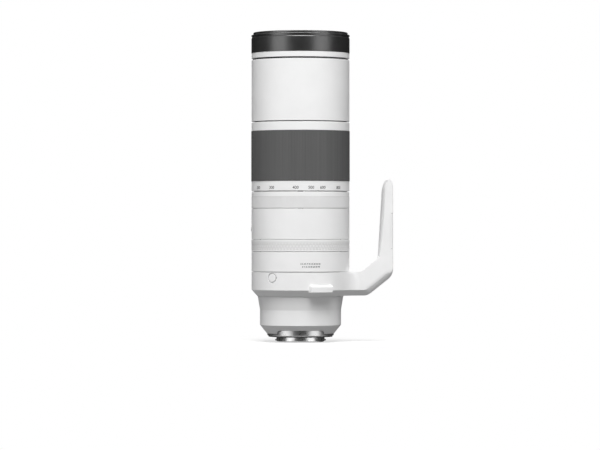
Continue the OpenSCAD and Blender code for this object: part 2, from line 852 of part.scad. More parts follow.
module glass_retainer() {
    color("Black") rotate_extrude()
        polygon([[glass_r - retainer_lip, z_cell_top], [cell_r, z_cell_top],
            [cell_r, z_thread - 0.1], [cell_r - retainer_edge, z_thread - 0.1]]);
}

module front_cell() {
    color("DimGray") rotate_extrude()
        polygon([[ext_in, z_ext_top], [front_in, z_ext_top], [front_in, z_black],
            [cell_r, z_black], [cell_r, z_cell_top], [glass_r, z_cell_top], [glass_r, z_glass],
            [ext_in, z_glass]]);
}

module front_glass() {
    color("LightBlue") glass(glass_r, z_glass, z_glass + glass_edge, 0, glass_crown);
}

module extension_tube() {
    color("WhiteSmoke") difference() {
        tube(ext_in, ext_r, z_tail, z_ext_top);
        for (i = [0 : 2])
            radial(roller_a + 120 * i, z_roller, 1.5, ext_in - 1, ext_r + 1);
    }
}

module extension_rollers() {
    color("Gold") for (i = [0 : 2]) {
        radial(roller_a + 120 * i, z_roller, 1.5, ext_in + 0.3, roller_out);
        radial(roller_a + 120 * i, z_roller, roller_d / 2, ext_r + 0.1, roller_out);
    }
}

module variator_cell() {
    z = z_variator;
    color("DimGray") {
        tube(cam_in - sleeve_gap - 1.8, cam_in - sleeve_gap, z, z + variator_h);
        tube(variator_r, cam_in - sleeve_gap - 1.6, z + variator_seat - 1, z + variator_seat + 1);
        tube(variator_r, variator_r + 2, z + variator_seat - 1, z + variator_seat + variator_t + 1);
        for (i = [0 : 2])
            radial(variator_a + 120 * i, z_cam_pin, roller_d / 2, cam_in - sleeve_gap - 0.8,
                roller_out);
    }
}

module variator_glass() {
    color("LightBlue") glass(variator_r, z_variator + variator_seat,
        z_variator + variator_seat + variator_t, -variator_hollow, -variator_hollow * 2 / 3);
}

// Turning rings on the fixed barrel
module focus_ring() {
    g = 1.2;
    color("LightGray") rotate_extrude()
        polygon([[ring_in, z_focus], [body_r, z_focus], [body_r, z_focus + 0.7],
            [body_r - g, z_focus + 0.7], [body_r - g, z_focus + focus_h - 0.7],
            [body_r, z_focus + focus_h - 0.7], [body_r, z_focus + focus_h],
            [ring_in, z_focus + focus_h]]);
}

module focus_grip() {
    color("Silver") tube(body_r - 1.2, body_r + 0.05, z_focus + 0.7, z_focus + focus_h - 0.7);
}

module control_ring() {
    color("LightGray") bevel_tube(ring_in, body_r + 0.15, z_control, z_control + control_h, 0.4);
}

// Outline of the foot: pairs of an outer and an inner point along the arm and the plate
foot_in_low = foot_reach - foot_t;
foot_in_top = foot_reach - foot_top_t;
foot_slope = 0.8;
foot_taper_h = 13.6;
foot_taper = 4.6;
foot_half_w = foot_w / 2;
root_x = neck_r - 7.4;
fillet_y = foot_half_w + arm_fillet;
fillet_x = sqrt(pow(body_r + arm_fillet, 2) - pow(fillet_y, 2));
fillet_a = atan2(fillet_x, fillet_y);
flare = [for (i = [0 : 3]) let (a = fillet_a * (1 - i / 3))
    [fillet_x - arm_fillet * sin(a), fillet_y - arm_fillet * cos(a)]];
k_low = [foot_reach - bend_out, arm_z0];
k_out = [foot_reach, arm_z0 + bend_out * foot_slope];
j_low = [foot_in_low - bend_in, z_collar_top];
j_out = [foot_in_low, z_collar_top + bend_in * foot_slope];
foot_out = concat([[root_x, arm_z0]], [for (p = flare) [p[0], arm_z0]],
    corner([0, arm_z0], k_low, k_out, 12, 3), corner(k_low, k_out, [foot_reach, foot_top], 14, 6),
    [[foot_reach, foot_top - foot_taper_h], [foot_reach, foot_top - foot_taper_h * 0.4],
        [foot_reach - 0.4, foot_top - 1.6], [foot_reach - 1.3, foot_top]]);
flare_k = (j_low[0] - 3 - root_x) / (flare[3][0] - root_x);
foot_in = concat([[root_x, z_collar_top]],
    [for (p = flare) [root_x + (p[0] - root_x) * flare_k, z_collar_top]],
    corner([0, z_collar_top], j_low, j_out, 7, 3),
    corner(j_low, j_out, [foot_in_top, foot_top - foot_taper_h], 3.4, 6),
    [[foot_in_top, foot_top - foot_taper_h],
        [foot_in_top + foot_taper * 0.4, foot_top - foot_taper_h * 0.32],
        [foot_in_top + foot_taper * 0.75, foot_top - 1.3], [foot_in_top + foot_taper, foot_top]]);
foot_half = concat([flare[0][1]], [for (p = flare) p[1]], [for (i = [0 : 10]) foot_half_w],
    [foot_half_w, foot_half_w - 0.2, foot_half_w - 0.6, foot_half_w - 1.6]);
foot_bo = concat([for (i = [0 : 8]) arm_bevel],
    [for (i = [0 : 6]) arm_bevel - (arm_bevel - base_bevel) * i / 6],
    [for (i = [0 : 3]) base_bevel]);
foot_bi = concat([for (i = [0 : 8]) 1.2],
    [for (i = [0 : 6]) 1.2 + (foot_bevel - 1.2) * i / 6], [foot_bevel, 2.2, 1.6, 1]);
foot_bw = concat([for (i = [0 : 8]) 1.2],
    [for (i = [0 : 6]) 1.2 + (foot_bevel_w - 1.2) * i / 6],
    [foot_bevel_w, foot_bevel_w * 0.8, foot_bevel_w * 0.6, foot_bevel_w * 0.3]);

// Eight points of the foot's section at station i
function section(i) =
    let (o = foot_out[i], n = foot_in[i], d = unit(n - o), w = foot_half[i],
        p = o + d * foot_bo[i], q = n - d * foot_bi[i])
    [[o[0], foot_bo[i] - w, o[1]], [o[0], w - foot_bo[i], o[1]], [p[0], w, p[1]], [q[0], w, q[1]],
        [n[0], w - foot_bw[i], n[1]], [n[0], foot_bw[i] - w, n[1]], [q[0], -w, q[1]],
        [p[0], -w, p[1]]];

module foot_arm() {
    m = len(foot_out);
    pts = [for (i = [0 : m - 1]) each section(i)];
    sides = [for (i = [0 : m - 2], k = [0 : 7])
        each [[8 * i + k, 8 * i + 8 + k, 8 * i + (k + 1) % 8],
            [8 * i + 8 + k, 8 * i + 8 + (k + 1) % 8, 8 * i + (k + 1) % 8]]];
    ends = concat([for (k = [1 : 6]) [0, k, k + 1]],
        [for (k = [1 : 6]) [8 * m - 8, 8 * m - 8 + k + 1, 8 * m - 8 + k]]);
    polyhedron(pts, concat(sides, ends), convexity = 6);
}

module collar_profile(r0) {
    b = edge_bevel;
    polygon([[r0, z_collar], [collar_low_r, z_collar], [body_r, z_tube], [body_r, z_collar_top - b],
        [body_r - b, z_collar_top], [r0, z_collar_top]]);
}

module tripod_collar() {
    color("WhiteSmoke") difference() {
        union() {
            rotate_extrude() collar_profile(neck_r - 1);
            foot_arm();
            radial(knob_angle, knob_z, 7, tube_r, boss_r);
        }
        translate([0, 0, z_tube - ring_gap]) cylinder(r = ring_in, h = collar_h + 9);
        translate([0, 0, z_collar - 5]) cylinder(r = neck_r + sleeve_gap, h = 20);
        radial(knob_angle, knob_z, stud_r + stud_gap, tube_r - 5, boss_r + 5);
        intersection() {
            radial(plug_a, plug_z, plug_d / 2, tube_r - 5, body_r + 5);
            tube(body_r - plug_floor, body_r + 9, plug_z - 9, plug_z + 9);
        }
        translate([foot_reach - plate_t, -foot_w, plate_z]) cube([9, 2 * foot_w, plate_h]);
        translate([foot_reach - socket_h - 2, 0, plate_z + plate_h / 2])
            rotate([0, 90, 0]) cylinder(r = socket_r + 2.2, h = 20);
    }
}

module foot_plate() {
    c = base_bevel;
    color("Gainsboro") difference() {
        translate([foot_reach, 0, plate_z]) linear_extrude(plate_h)
            polygon([[-plate_t, -foot_w / 2], [-c, -foot_w / 2], [0, c - foot_w / 2],
                [0, foot_w / 2 - c], [-c, foot_w / 2], [-plate_t, foot_w / 2]]);
        translate([foot_reach - 9, 0, plate_z + plate_h / 2])
            rotate([0, 90, 0]) cylinder(r = socket_r + 2.2, h = 20);
    }
}

module tripod_bush() {
    color("Silver") translate([foot_reach - socket_h - 2, 0, plate_z + plate_h / 2])
        rotate([0, 90, 0]) difference() {
            cylinder(r = socket_r + 2.2, h = socket_h + 2);
            translate([0, 0, 2]) cylinder(r = socket_r, h = socket_h + 5);
        }
}

module strap_lugs() {
    z = z_tube + 1.2;
    color("WhiteSmoke") for (s = [-1, 1]) difference() {
        block(lug_a * s, z, lug_w, lug_h, neck_r + 3, body_r + lug_out);
        rotate_extrude() collar_profile(0);
        block(lug_a * s, z, lug_w - 2 * lug_end, 3 * lug_h, body_r + lug_skin,
            body_r + lug_skin + lug_slot);
        for (t = [-1, 1])
            at(lug_a * s, body_r + lug_out, z) translate([0, t * lug_w / 2, 0])
                rotate([0, 0, 45]) cube([lug_cut, lug_cut, 3 * lug_h], center = true);
    }
}

module collar_plug() {
    color("Gainsboro") intersection() {
        radial(plug_a, plug_z, plug_d / 2, tube_r - 5, body_r + 5);
        tube(body_r - plug_floor, body_r, plug_z - 9, plug_z + 9);
    }
}

module lock_knob() {
    color("DimGray") {
        difference() {
            radial(knob_angle, knob_z, knob_d / 2, boss_r + 0.3, boss_r + 0.3 + knob_h);
            for (i = [0 : 7])
                at(knob_angle, boss_r + 2.3, knob_z) rotate([i * 45, 0, 0])
                    translate([0, 0, knob_d / 2 + 1]) rotate([0, 90, 0])
                        cylinder(r = 2.2, h = knob_h + 4);
        }
        radial(knob_angle, knob_z, stud_r, ring_in, boss_r + 2);
    }
}

// Buttons and switches
module button(a) {
    radial(a, button_z, button_d / 2, button_in, body_r + 0.15 + button_out);
}

module top_button() {
    color("LightGray") button(180);
}

module side_button() {
    color("LightGray") button(side_angle);
}

module slide_switch(a) {
    difference() {
        block(a, switch_z, switch_w, switch_l, switch_floor + 0.2, switch_top);
        for (i = [-1, 0, 1])
            block(a, switch_z + 1.4 * i, switch_w + 2, 0.5, switch_top - 0.4, switch_top + 1);
    }
}

module focus_switch() {
    color("LightGray") slide_switch(77);
}

module stabilizer_switch() {
    color("LightGray") slide_switch(103);
}

main_tube();
mid_barrel();
main_barrel();
index_band();
rear_barrel();
mount_ring();
mount_seal();
mount_screws();
contact_block();
contact_pins();
rear_baffle();
rear_cell();
rear_glass();
circuit_board();
inner_chassis();
focus_rods();
focus_motor();
stabilizer_base();
iris_base();
switch_panel();
zoom_ring();
zoom_grip();
cam_tube();
dust_seal();
front_barrel();
front_trim_ring();
front_ring();
glass_retainer();
front_cell();
front_glass();
extension_tube();
extension_rollers();
variator_cell();
variator_glass();
focus_ring();
focus_grip();
control_ring();
tripod_collar();
foot_plate();
tripod_bush();
strap_lugs();
collar_plug();
lock_knob();
top_button();
side_button();
focus_switch();
stabilizer_switch();
focus_cell();
focus_glass();
stabilizer_x_frame();
stabilizer_y_frame();
stabilizer_glass();
iris_ring();
iris_blade(0);  // iris_blade_1
iris_blade(1);  // iris_blade_2
iris_blade(2);  // iris_blade_3
iris_blade(3);  // iris_blade_4
iris_blade(4);  // iris_blade_5
iris_blade(5);  // iris_blade_6
iris_blade(6);  // iris_blade_7
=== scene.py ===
"""Looks of a white telephoto zoom lens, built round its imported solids.

Shapes are worked out in millimetres in the row frame: +Z along the optical axis, +X to the foot.
"""

import bmesh
import bpy
import numpy as np
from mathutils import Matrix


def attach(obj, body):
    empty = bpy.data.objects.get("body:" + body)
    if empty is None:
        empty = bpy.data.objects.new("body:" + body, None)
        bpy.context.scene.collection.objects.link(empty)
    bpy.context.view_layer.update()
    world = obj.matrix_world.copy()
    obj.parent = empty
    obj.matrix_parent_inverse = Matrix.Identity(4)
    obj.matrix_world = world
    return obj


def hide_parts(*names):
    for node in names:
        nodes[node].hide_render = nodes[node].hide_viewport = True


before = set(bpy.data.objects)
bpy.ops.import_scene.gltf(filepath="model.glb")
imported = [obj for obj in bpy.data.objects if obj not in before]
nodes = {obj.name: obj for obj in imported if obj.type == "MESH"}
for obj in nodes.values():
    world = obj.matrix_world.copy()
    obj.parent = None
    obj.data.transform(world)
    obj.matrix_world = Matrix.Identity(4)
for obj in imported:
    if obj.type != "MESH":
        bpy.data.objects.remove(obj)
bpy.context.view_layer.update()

MM = 0.001
TURN = 2 * np.pi

# Radii and heights shared with the solids, in mm
BODY_R = 50.8
ZOOM_Z = (160.1, 212.1)
FOCUS_Z = (132.6, 143.8)
CONTROL_Z = (87.5, 99.8)
COLLAR_Z = (41.1, 47.8, 66.1)
COLLAR_LOW_R = 44.9
COLLAR_BORE = (43.7, 48.7)
COLLAR_STEP_Z = 47.5
COLLAR_EDGE = 0.12
PLUG_ANGLE = np.radians(-125.2)
PLUG_Z = 60.5
PLUG_R = 4.75
PLUG_RECESS = 1.7
PLUG_SLACK = 0.3
KNOB_ANGLE = np.radians(105)
KNOB_Z = 57.0


def noise_mix(tree, scale, low, high, stretch=1.0):
    """Colour that drifts between low and high with a noise of the given scale per metre.

    A stretch below 1 draws the noise out along the axis into streaks.
    """
    coord = tree.nodes.new("ShaderNodeTexCoord")
    noise = tree.nodes.new("ShaderNodeTexNoise")
    noise.inputs["Scale"].default_value = scale
    noise.inputs["Detail"].default_value = 3.0
    ramp = tree.nodes.new("ShaderNodeValToRGB")
    ramp.color_ramp.elements[0].position = 0.3
    ramp.color_ramp.elements[1].position = 0.7
    ramp.color_ramp.elements[0].color = (*low, 1)
    ramp.color_ramp.elements[1].color = (*high, 1)
    drawn = tree.nodes.new("ShaderNodeVectorMath")
    drawn.operation = "MULTIPLY"
    drawn.inputs[1].default_value = (1, 1, stretch)
    tree.links.new(coord.outputs["Object"], drawn.inputs[0])
    tree.links.new(drawn.outputs[0], noise.inputs["Vector"])
    tree.links.new(noise.outputs["Fac"], ramp.inputs["Fac"])
    return ramp.outputs["Color"]


def grain_bump(tree, scale, height):
    """Normal roughened by a noise of the given scale per metre and height in millimetres."""
    coord = tree.nodes.new("ShaderNodeTexCoord")
    noise = tree.nodes.new("ShaderNodeTexNoise")
    noise.inputs["Scale"].default_value = scale
    noise.inputs["Detail"].default_value = 2.0
    bump = tree.nodes.new("ShaderNodeBump")
    bump.inputs["Strength"].default_value = 1.0
    bump.inputs["Distance"].default_value = height * MM
    tree.links.new(coord.outputs["Object"], noise.inputs["Vector"])
    tree.links.new(noise.outputs["Fac"], bump.inputs["Height"])
    return bump.outputs["Normal"]


def grey(v):
    """Neutral colour of linear value v."""
    return (v, v, v)


ROUGH_DRIFT = 0.04


def finish(name, low, high, rough, grain, patch=45.0, stretch=1.0, **fixed):
    """Material whose colour drifts from low to high, with a grain.

    The roughness drifts by ROUGH_DRIFT to both sides of rough. grain is (scale per metre, height
    in mm); fixed holds values set straight on the shader.
    """
    material = bpy.data.materials.new(name)
    material.use_nodes = True
    tree = material.node_tree
    shader = tree.nodes["Principled BSDF"]
    tree.links.new(noise_mix(tree, patch, low, high, stretch), shader.inputs["Base Color"])
    rough_low, rough_high = grey(rough - ROUGH_DRIFT), grey(rough + ROUGH_DRIFT)
    tree.links.new(noise_mix(tree, patch * 3, rough_low, rough_high), shader.inputs["Roughness"])
    if grain:
        tree.links.new(grain_bump(tree, *grain), shader.inputs["Normal"])
    for socket, value in fixed.items():
        shader.inputs[socket.replace("_", " ")].default_value = value
    return material


def radius_of(tree):
    """Distance from the optical axis, in metres, from Object coordinates."""
    coord = tree.nodes.new("ShaderNodeTexCoord")
    flat = tree.nodes.new("ShaderNodeVectorMath")
    flat.operation = "MULTIPLY"
    flat.inputs[1].default_value = (1, 1, 0)
    length = tree.nodes.new("ShaderNodeVectorMath")
    length.operation = "LENGTH"
    tree.links.new(coord.outputs["Object"], flat.inputs[0])
    tree.links.new(flat.outputs[0], length.inputs[0])
    return length.outputs["Value"]


def above(tree, value, limit):
    """1 where a value in metres is above a limit in millimetres, else 0."""
    edge = tree.nodes.new("ShaderNodeMath")
    edge.operation = "GREATER_THAN"
    edge.inputs[1].default_value = limit * MM
    tree.links.new(value, edge.inputs[0])
    return edge.outputs[0]


def recolour(material, share, low):
    """Mixes a material's colour: low where share is 0, and its own where share is 1."""
    tree = material.node_tree
    base = tree.nodes["Principled BSDF"].inputs["Base Color"]
    own = base.links[0].from_socket
    mix = tree.nodes.new("ShaderNodeMix")
    mix.data_type = "RGBA"
    mix.inputs["A"].default_value = (*low, 1)
    tree.links.new(share, mix.inputs["Factor"])
    tree.links.new(own, mix.inputs["B"])
    tree.links.new(mix.outputs["Result"], base)
    return material


def lined(material, radius, inner):
    """Turns what lies nearer to the axis than radius (mm) into the dark lining colour inner."""
    tree = material.node_tree
    return recolour(material, above(tree, radius_of(tree), radius), inner)


def groove_shaded(material, r0, r1, low):
    """Darkens a material to low where the distance from the axis falls from r1 to r0 (mm): painted
    shade at the bottom of grooves.
    """
    tree = material.node_tree
    rise = tree.nodes.new("ShaderNodeMapRange")
    rise.inputs["From Min"].default_value = r0 * MM
    rise.inputs["From Max"].default_value = r1 * MM
    tree.links.new(radius_of(tree), rise.inputs["Value"])
    return recolour(material, rise.outputs[0], low)


def painted_light_below(material, height, low):
    """Turns what lies below height (mm) along the axis into the colour low: painted light where low
    is lighter than the material.
    """
    tree = material.node_tree
    coord = tree.nodes.new("ShaderNodeTexCoord")
    axes = tree.nodes.new("ShaderNodeSeparateXYZ")
    tree.links.new(coord.outputs["Object"], axes.inputs[0])
    return recolour(material, above(tree, axes.outputs["Z"], height), low)


def turned(name, low, high, rough, pitch, height, bare):
    """Metal with fine lathe rings: a wave round the axis, pitch rings per metre, height in mm.

    bare is the share of mirror metal; the rest is dull.
    """
    material = finish(name, low, high, rough, None, patch=120.0, Metallic=bare)
    tree = material.node_tree
    shader = tree.nodes["Principled BSDF"]
    coord = tree.nodes.new("ShaderNodeTexCoord")
    rings = tree.nodes.new("ShaderNodeTexWave")
    rings.wave_type = "RINGS"
    rings.rings_direction = "SPHERICAL"
    rings.inputs["Scale"].default_value = pitch
    rings.inputs["Distortion"].default_value = 0.6
    rings.inputs["Detail"].default_value = 2.0
    bump = tree.nodes.new("ShaderNodeBump")
    bump.inputs["Distance"].default_value = height * MM
    bump.inputs["Strength"].default_value = 0.6
    tree.links.new(coord.outputs["Object"], rings.inputs["Vector"])
    tree.links.new(rings.outputs["Fac"], bump.inputs["Height"])
    tree.links.new(bump.outputs["Normal"], shader.inputs["Normal"])
    return material


def coated_glass(name, low, high, film):
    """Clear optical glass whose coating is a thin film of the given thickness in nanometres."""
    return finish(
        name, low, high, 0.06, None, patch=12.0, Transmission_Weight=1.0, IOR=1.5,
        Thin_Film_Thickness=film, Thin_Film_IOR=1.38,
    )


white_paint = finish("white_paint", grey(0.80), grey(0.83), 0.6, (2600.0, 0.01),
                     Specular_IOR_Level=0.25)
collar_paint = finish("collar_paint", grey(0.80), grey(0.83), 0.6, (2600.0, 0.012),
                      Specular_IOR_Level=0.25)
tube_paint = lined(
    finish("tube_paint", grey(0.78), grey(0.81), 0.55, (2600.0, 0.01)), 44.6, grey(0.012)
)
light_grey = finish("light_grey", grey(0.69), grey(0.72), 0.6, (3000.0, 0.014),
                    Specular_IOR_Level=0.25)
# The knurl's grooves are painted darker than its peaks: painted shade.
knurl_grey = groove_shaded(
    finish("knurl_grey", grey(0.74), grey(0.77), 0.6, (3000.0, 0.014), Specular_IOR_Level=0.25),
    50.7, 50.93, grey(0.66)
)
pale_rubber = finish("pale_rubber", grey(0.69), grey(0.73), 0.65, (3600.0, 0.02),
                     Specular_IOR_Level=0.2)
dark_rubber = finish("dark_rubber", grey(0.086), grey(0.098), 0.62, (3600.0, 0.02), patch=350.0,
                     stretch=0.01, Specular_IOR_Level=0.2)
black_plastic = finish("black_plastic", grey(0.016), grey(0.021), 0.34, (2800.0, 0.008),
                       Specular_IOR_Level=0.7)
matt_black = finish("matt_black", grey(0.012), grey(0.02), 0.7, (3000.0, 0.02))
black_metal = finish("black_metal", grey(0.03), grey(0.045), 0.45, (2200.0, 0.01), Metallic=0.6)
# The bayonet below the flange is painted a lighter grey than the mount, standing in for light on
# the shaded bayonet: painted light.
mount_metal = painted_light_below(
    turned("mount_metal", grey(0.34), grey(0.40), 0.3, 1400.0, 0.004, 0.7), -0.2, grey(0.54)
)
steel = finish("steel", grey(0.3), grey(0.38), 0.42, (2400.0, 0.006), Metallic=1.0)
brass = finish("brass", (0.62, 0.42, 0.14), (0.76, 0.54, 0.2), 0.28, (1800.0, 0.005), Metallic=1.0)
gold = finish("gold", (0.78, 0.55, 0.2), (0.9, 0.66, 0.28), 0.22, (2600.0, 0.004), Metallic=1.0)
board_green = finish("board_green", (0.01, 0.07, 0.03), (0.02, 0.12, 0.05), 0.4, (900.0, 0.02))
front_coating = coated_glass("front_coating", (0.93, 0.95, 0.97), (0.97, 0.97, 0.99), 100.0)
inner_coating = coated_glass("inner_coating", (0.9, 0.95, 0.92), (0.95, 0.98, 0.96), 110.0)
ink = finish("ink", grey(0.03), grey(0.05), 0.55, (3000.0, 0.004))
pale_ink = finish("pale_ink", grey(0.07), grey(0.1), 0.55, (3000.0, 0.004))
index_red = finish("index_red", (0.42, 0.02, 0.02), (0.5, 0.03, 0.025), 0.45, (2600.0, 0.005))


def paint(material, *names):
    """Gives solids that keep their shape a better material on their own slots."""
    for name in names:
        for place in nodes[name].material_slots:
            place.material = material


paint(white_paint, "mid_barrel", "main_barrel", "index_band", "rear_barrel", "zoom_ring",
      "front_barrel", "front_trim_ring", "switch_panel", "collar_plug")
paint(collar_paint, "tripod_collar", "strap_lugs", "foot_plate")
paint(tube_paint, "extension_tube")
# main_tube shows only in the seams between the rings; it is painted light grey so that those seams
# look lighter: painted light.
paint(light_grey, "focus_ring", "control_ring", "top_button", "side_button", "focus_switch",
      "stabilizer_switch", "main_tube")
paint(pale_rubber, "focus_grip")
paint(dark_rubber, "zoom_grip")
paint(black_plastic, "front_ring", "contact_block", "lock_knob")
paint(matt_black, "glass_retainer", "rear_baffle", "rear_cell", "iris_base", "focus_motor",
      "stabilizer_base", "front_cell", "inner_chassis", "mount_seal", "dust_seal",
      *["iris_blade_%d" % (i + 1) for i in range(7)])
paint(black_metal, "variator_cell", "focus_cell", "stabilizer_x_frame", "stabilizer_y_frame",
      "iris_ring", "cam_tube")
paint(mount_metal, "mount_ring")
paint(steel, "mount_screws", "focus_rods", "tripod_bush")
paint(brass, "extension_rollers")
paint(gold, "contact_pins")
paint(board_green, "circuit_board")
paint(front_coating, "front_glass")
paint(inner_coating, "rear_glass", "variator_glass", "focus_glass", "stabilizer_glass")


def grid_faces(nu, nv, wrap=(False, False)):
    """Indices of a grid's points, and the quads that join each point to its neighbours.

    A direction that wraps joins its last line to its first.
    """
    index = np.arange(nu * nv).reshape(nu, nv)
    u, v = np.meshgrid(
        np.arange(nu if wrap[0] else nu - 1), np.arange(nv if wrap[1] else nv - 1), indexing="ij"
    )
    u1, v1 = (u + 1) % nu, (v + 1) % nv
    quads = np.stack([index[u, v], index[u1, v], index[u1, v1], index[u, v1]], -1)
    return index, quads.reshape(-1, 4).tolist()


def skin(name, points, body, material, wrap=(True, True), caps=False, sharp=38.0):
    """Piece over a grid of points in millimetres; caps closes the grid's first and last row."""
    index, faces = grid_faces(*points.shape[:2], wrap)
    if caps:
        faces += [index[0].tolist(), index[-1][::-1].tolist()]
    mesh = bpy.data.meshes.new(name)
    mesh.from_pydata((points.reshape(-1, 3) * MM).tolist(), [], faces)
    return dress(name, mesh, body, material, sharp)


def dress(name, mesh, body, material, sharp=38.0):
    """Joins double points, turns faces outwards, smooths below the sharp angle, sets the body."""
    work = bmesh.new()
    work.from_mesh(mesh)
    bmesh.ops.remove_doubles(work, verts=work.verts, dist=1e-7)
    bmesh.ops.recalc_face_normals(work, faces=work.faces)
    work.to_mesh(mesh)
    work.free()
    mesh.shade_smooth()
    mesh.set_sharp_from_angle(angle=np.radians(sharp))
    mesh.materials.append(material)
    piece = bpy.data.objects.new(name, mesh)
    bpy.context.scene.collection.objects.link(piece)
    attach(piece, body)
    return piece


def lathe(radius, height, count):
    """Points (radius cos a, radius sin a, height) for count equal angles a round the axis.

    radius and height are rows of an outline; radius may also hold one row for each angle.
    """
    a = np.arange(count)[:, None] * TURN / count
    radius = np.broadcast_to(radius, (count, np.shape(radius)[-1]))
    height = np.broadcast_to(height, radius.shape)
    return np.stack([radius * np.cos(a), radius * np.sin(a), height], -1)


def wave(phase):
    """Triangle wave of period 1: 0 at whole numbers and 1 half way between them."""
    return 1 - np.abs(2 * (phase % 1) - 1)


def ribbed_grip(r_in, r_out, z0, z1, ribs, steps, depth, edge):
    """Sleeve whose outer wall falls by depth in narrow grooves between rounded ribs.

    The wall's radius is r_out - depth (1 - w)^3, with w the triangle wave of the angle, and it is
    rounded off over edge at both ends. The inner wall is plain.
    """
    count = ribs * steps
    groove = (1 - wave(np.arange(count) / steps)) ** 3
    t = np.linspace(0, np.pi / 2, 4)
    ends = edge * (1 - np.sin(t))
    rise = edge * (1 - np.cos(t))
    middle = np.linspace(z0 + 2 * edge, z1 - 2 * edge, 5)
    rows = np.concatenate([z0 + rise, middle, z1 - rise[::-1]])
    fall = np.concatenate([ends, np.zeros(len(middle)), ends[::-1]])
    outer = r_out - fall[None, :] - depth * groove[:, None]
    radius = np.concatenate([np.full((count, 1), r_in), outer, np.full((count, 1), r_in)], 1)
    return lathe(radius, np.concatenate([[z0], rows, [z1]]), count)


def knurled_ring(r_in, r_out, z0, z1, band, pitch, count, depth):
    """Ring whose middle band is cut by two families of V grooves that cross.

    The band's radius is r_out - depth (1 - min(w1, w2)), with w1 and w2 the triangle waves of
    angle + height and angle - height; the depth runs out towards both ends of the band. The
    ring's own edges are bevelled.
    """
    steps, bevel, margin = 8, 0.4, 0.1
    ease_low, ease_high = 0.6, 3
    rows = np.linspace(band[0], band[1], 33)
    a = np.arange(count * steps)[:, None] / steps
    peak = np.minimum(wave(a + rows / pitch), wave(a - rows / pitch))
    share = np.minimum((rows - band[0]) / ease_low, (band[1] - rows) / ease_high).clip(0, 1)
    knurl = r_out - depth * share * (1 - peak)
    plain = np.ones((count * steps, 1))
    radius = np.concatenate(
        [r_in * plain, (r_out - bevel) * plain, r_out * plain, r_out * plain, knurl,
         r_out * plain, r_out * plain, (r_out - bevel) * plain, r_in * plain], 1)
    height = np.concatenate([[z0, z0, z0 + bevel, band[0] - margin], rows,
                             [band[1] + margin, z1 - bevel, z1, z1]])
    return lathe(radius, height, count * steps)


grip = skin("zoom_grip_ribs", ribbed_grip(49.9, 51.15, *ZOOM_Z, 200, 8, 0.12, 0.3), "zoom",
            dark_rubber, sharp=60.0)
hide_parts("zoom_grip")
ribs = skin("focus_grip_ribs", ribbed_grip(49.6, 50.85, *FOCUS_Z, 240, 6, 0.2, 0.2),
            "focus_control", pale_rubber, sharp=60.0)
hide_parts("focus_grip")
knurl = skin("control_ring_knurl",
             knurled_ring(48.7, 50.95, *CONTROL_Z, (88.1, 97.6), 5.8, 94, 0.25),
             "click_control", knurl_grey, sharp=30.0)
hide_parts("control_ring")


# Closed outlines that are turned round the axis: (radius, height)
FRONT_SLEEVE = np.array([
    (45.1, 222.1), (50.75, 222.1), (50.8, 222.15), (50.8, 222.3), (50.8, 285.2), (50.8, 285.4),
    (50.6, 285.6), (49.0, 285.6), (49.0, 224.1), (45.1, 224.1)])
INDEX_BAND = np.array([
    (48.4, 144.55), (50.55, 144.55), (50.6, 144.6), (50.6, 148.7), (50.3, 149.0), (48.4, 149.0)])
sleeve = skin("front_sleeve", lathe(*FRONT_SLEEVE.T, 256), "front", white_paint,
              sharp=30.0)
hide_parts("front_barrel")
index = skin("index_ring", lathe(*INDEX_BAND.T, 256), "barrel", white_paint)
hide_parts("index_band")


FRONT_RING = np.array([
    (46.6, 292.9), (50.7, 292.9), (51.0, 293.2), (51.0, 308.1), (50.55, 308.9), (50.4, 309.05),
    (50.4, 310.5), (51.0, 310.5), (51.0, 311.6), (50.8, 311.8), (49.0, 312.3), (49.0, 314.0),
    (48.7, 314.3), (47.5, 314.3), (47.5, 309.7), (46.6, 309.7)])
# Hood entries: middles, half angle and the angle of a side in degrees; depth, and where the rim is
ENTRIES = 75 + 120 * np.arange(3)
ENTRY_HALF = 11.0
ENTRY_SIDE = 0.03
ENTRY_DEPTH = 0.5
RIM_R = 50.5
RIM_Z = (310, 312)


def hood_ring():
    """Front ring's outline turned round the axis, with three entries for a lens hood.

    Within an entry's angle the rim above the groove is drawn in by the entry's depth.
    """
    sides = np.array([-ENTRY_SIDE, 0, 2 * ENTRY_HALF, 2 * ENTRY_HALF + ENTRY_SIDE])
    edges = ENTRIES[:, None] + sides - ENTRY_HALF
    a = np.unique(np.concatenate([np.arange(0, 360, 1.5), edges.ravel()]))[:, None]
    inside = np.abs((a - ENTRIES[0] + 60) % 120 - 60) < ENTRY_HALF + 0.01
    radius, height = FRONT_RING.T
    rim = (height > RIM_Z[0]) & (height < RIM_Z[1]) & (radius > RIM_R)
    r = radius - ENTRY_DEPTH * (inside & rim)
    a = np.radians(a)
    return np.stack([r * np.cos(a), r * np.sin(a), np.broadcast_to(height, r.shape)], -1)


hood = skin("hood_ring", hood_ring(), "front", black_plastic, sharp=20.0)
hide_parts("front_ring")


def step_down(d, edge, width):
    """Smooth step: 1 where d is below edge - width / 2, 0 above edge + width / 2."""
    t = np.clip((edge - d) / width + 0.5, 0, 1)
    return t * t * (3 - 2 * t)


